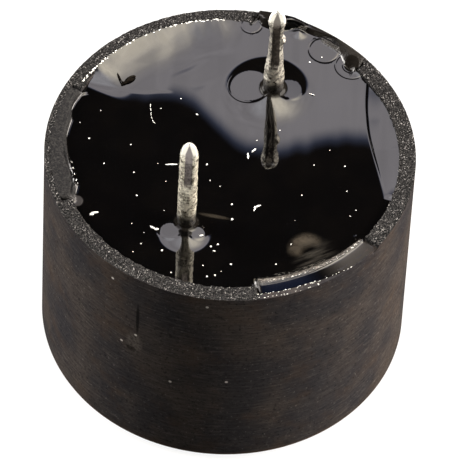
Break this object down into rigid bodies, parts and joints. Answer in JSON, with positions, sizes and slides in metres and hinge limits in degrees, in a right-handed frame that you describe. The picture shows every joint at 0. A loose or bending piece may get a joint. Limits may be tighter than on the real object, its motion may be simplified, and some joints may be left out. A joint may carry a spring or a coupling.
{
  "type": "magnetic buzzer",
  "caption": "Round board-mounted magnetic buzzer with a moulded black case, resin-sealed pin side, wire pins, and a coil, magnet and steel diaphragm behind its sound hole.",
  "frame": {"origin": "centre of the sound face, which the buzzer stands on", "axes": "+Z along the case towards the pins; +X from the axis towards the positive pin, through both pins"},
  "size_m": [0.012, 0.012, 0.0123],
  "materials": {
    "case": "moulded, fine scratches, sawn rim",
    "diaphragm": "thin rolled nickel-iron",
    "armature": "punched soft iron",
    "seat_ring": "moulded nylon",
    "magnet": "ground ferrite",
    "yoke": "zinc-plated soft iron",
    "pole": "turned soft iron",
    "bobbin": "moulded nylon",
    "winding": "enamelled copper wire",
    "leads": "enamelled copper wire",
    "board": "glass-fibre board with solder mask",
    "copper": "etched copper",
    "chip_body": "moulded compound",
    "tinned_legs": "tin-plated",
    "resistor_body": "glazed film on ceramic",
    "resistor_caps": "tin-plated",
    "pins": "hot-tinned wire, pitted",
    "solder": "solder",
    "resin": "cured glossy resin"
  },
  "bodies": {
    "root": {"case": "case", "diaphragm": "diaphragm", "armature_disc": "armature", "seat_ring": "seat_ring", "ring_magnet": "magnet", "yoke_plate": "yoke", "pole_core": "pole", "coil_bobbin": "bobbin", "coil_winding": "winding", "coil_leads": "leads", "circuit_board": "board", "copper_pads": "copper", "transistor_body": "chip_body", "transistor_legs": "tinned_legs", "resistor_body": "resistor_body", "resistor_caps": "resistor_caps", "positive_pin": "pins", "negative_pin": "pins", "pin_solder": "solder", "lead_solder": "solder", "potting": "resin"}
  },
  "joints": []
}
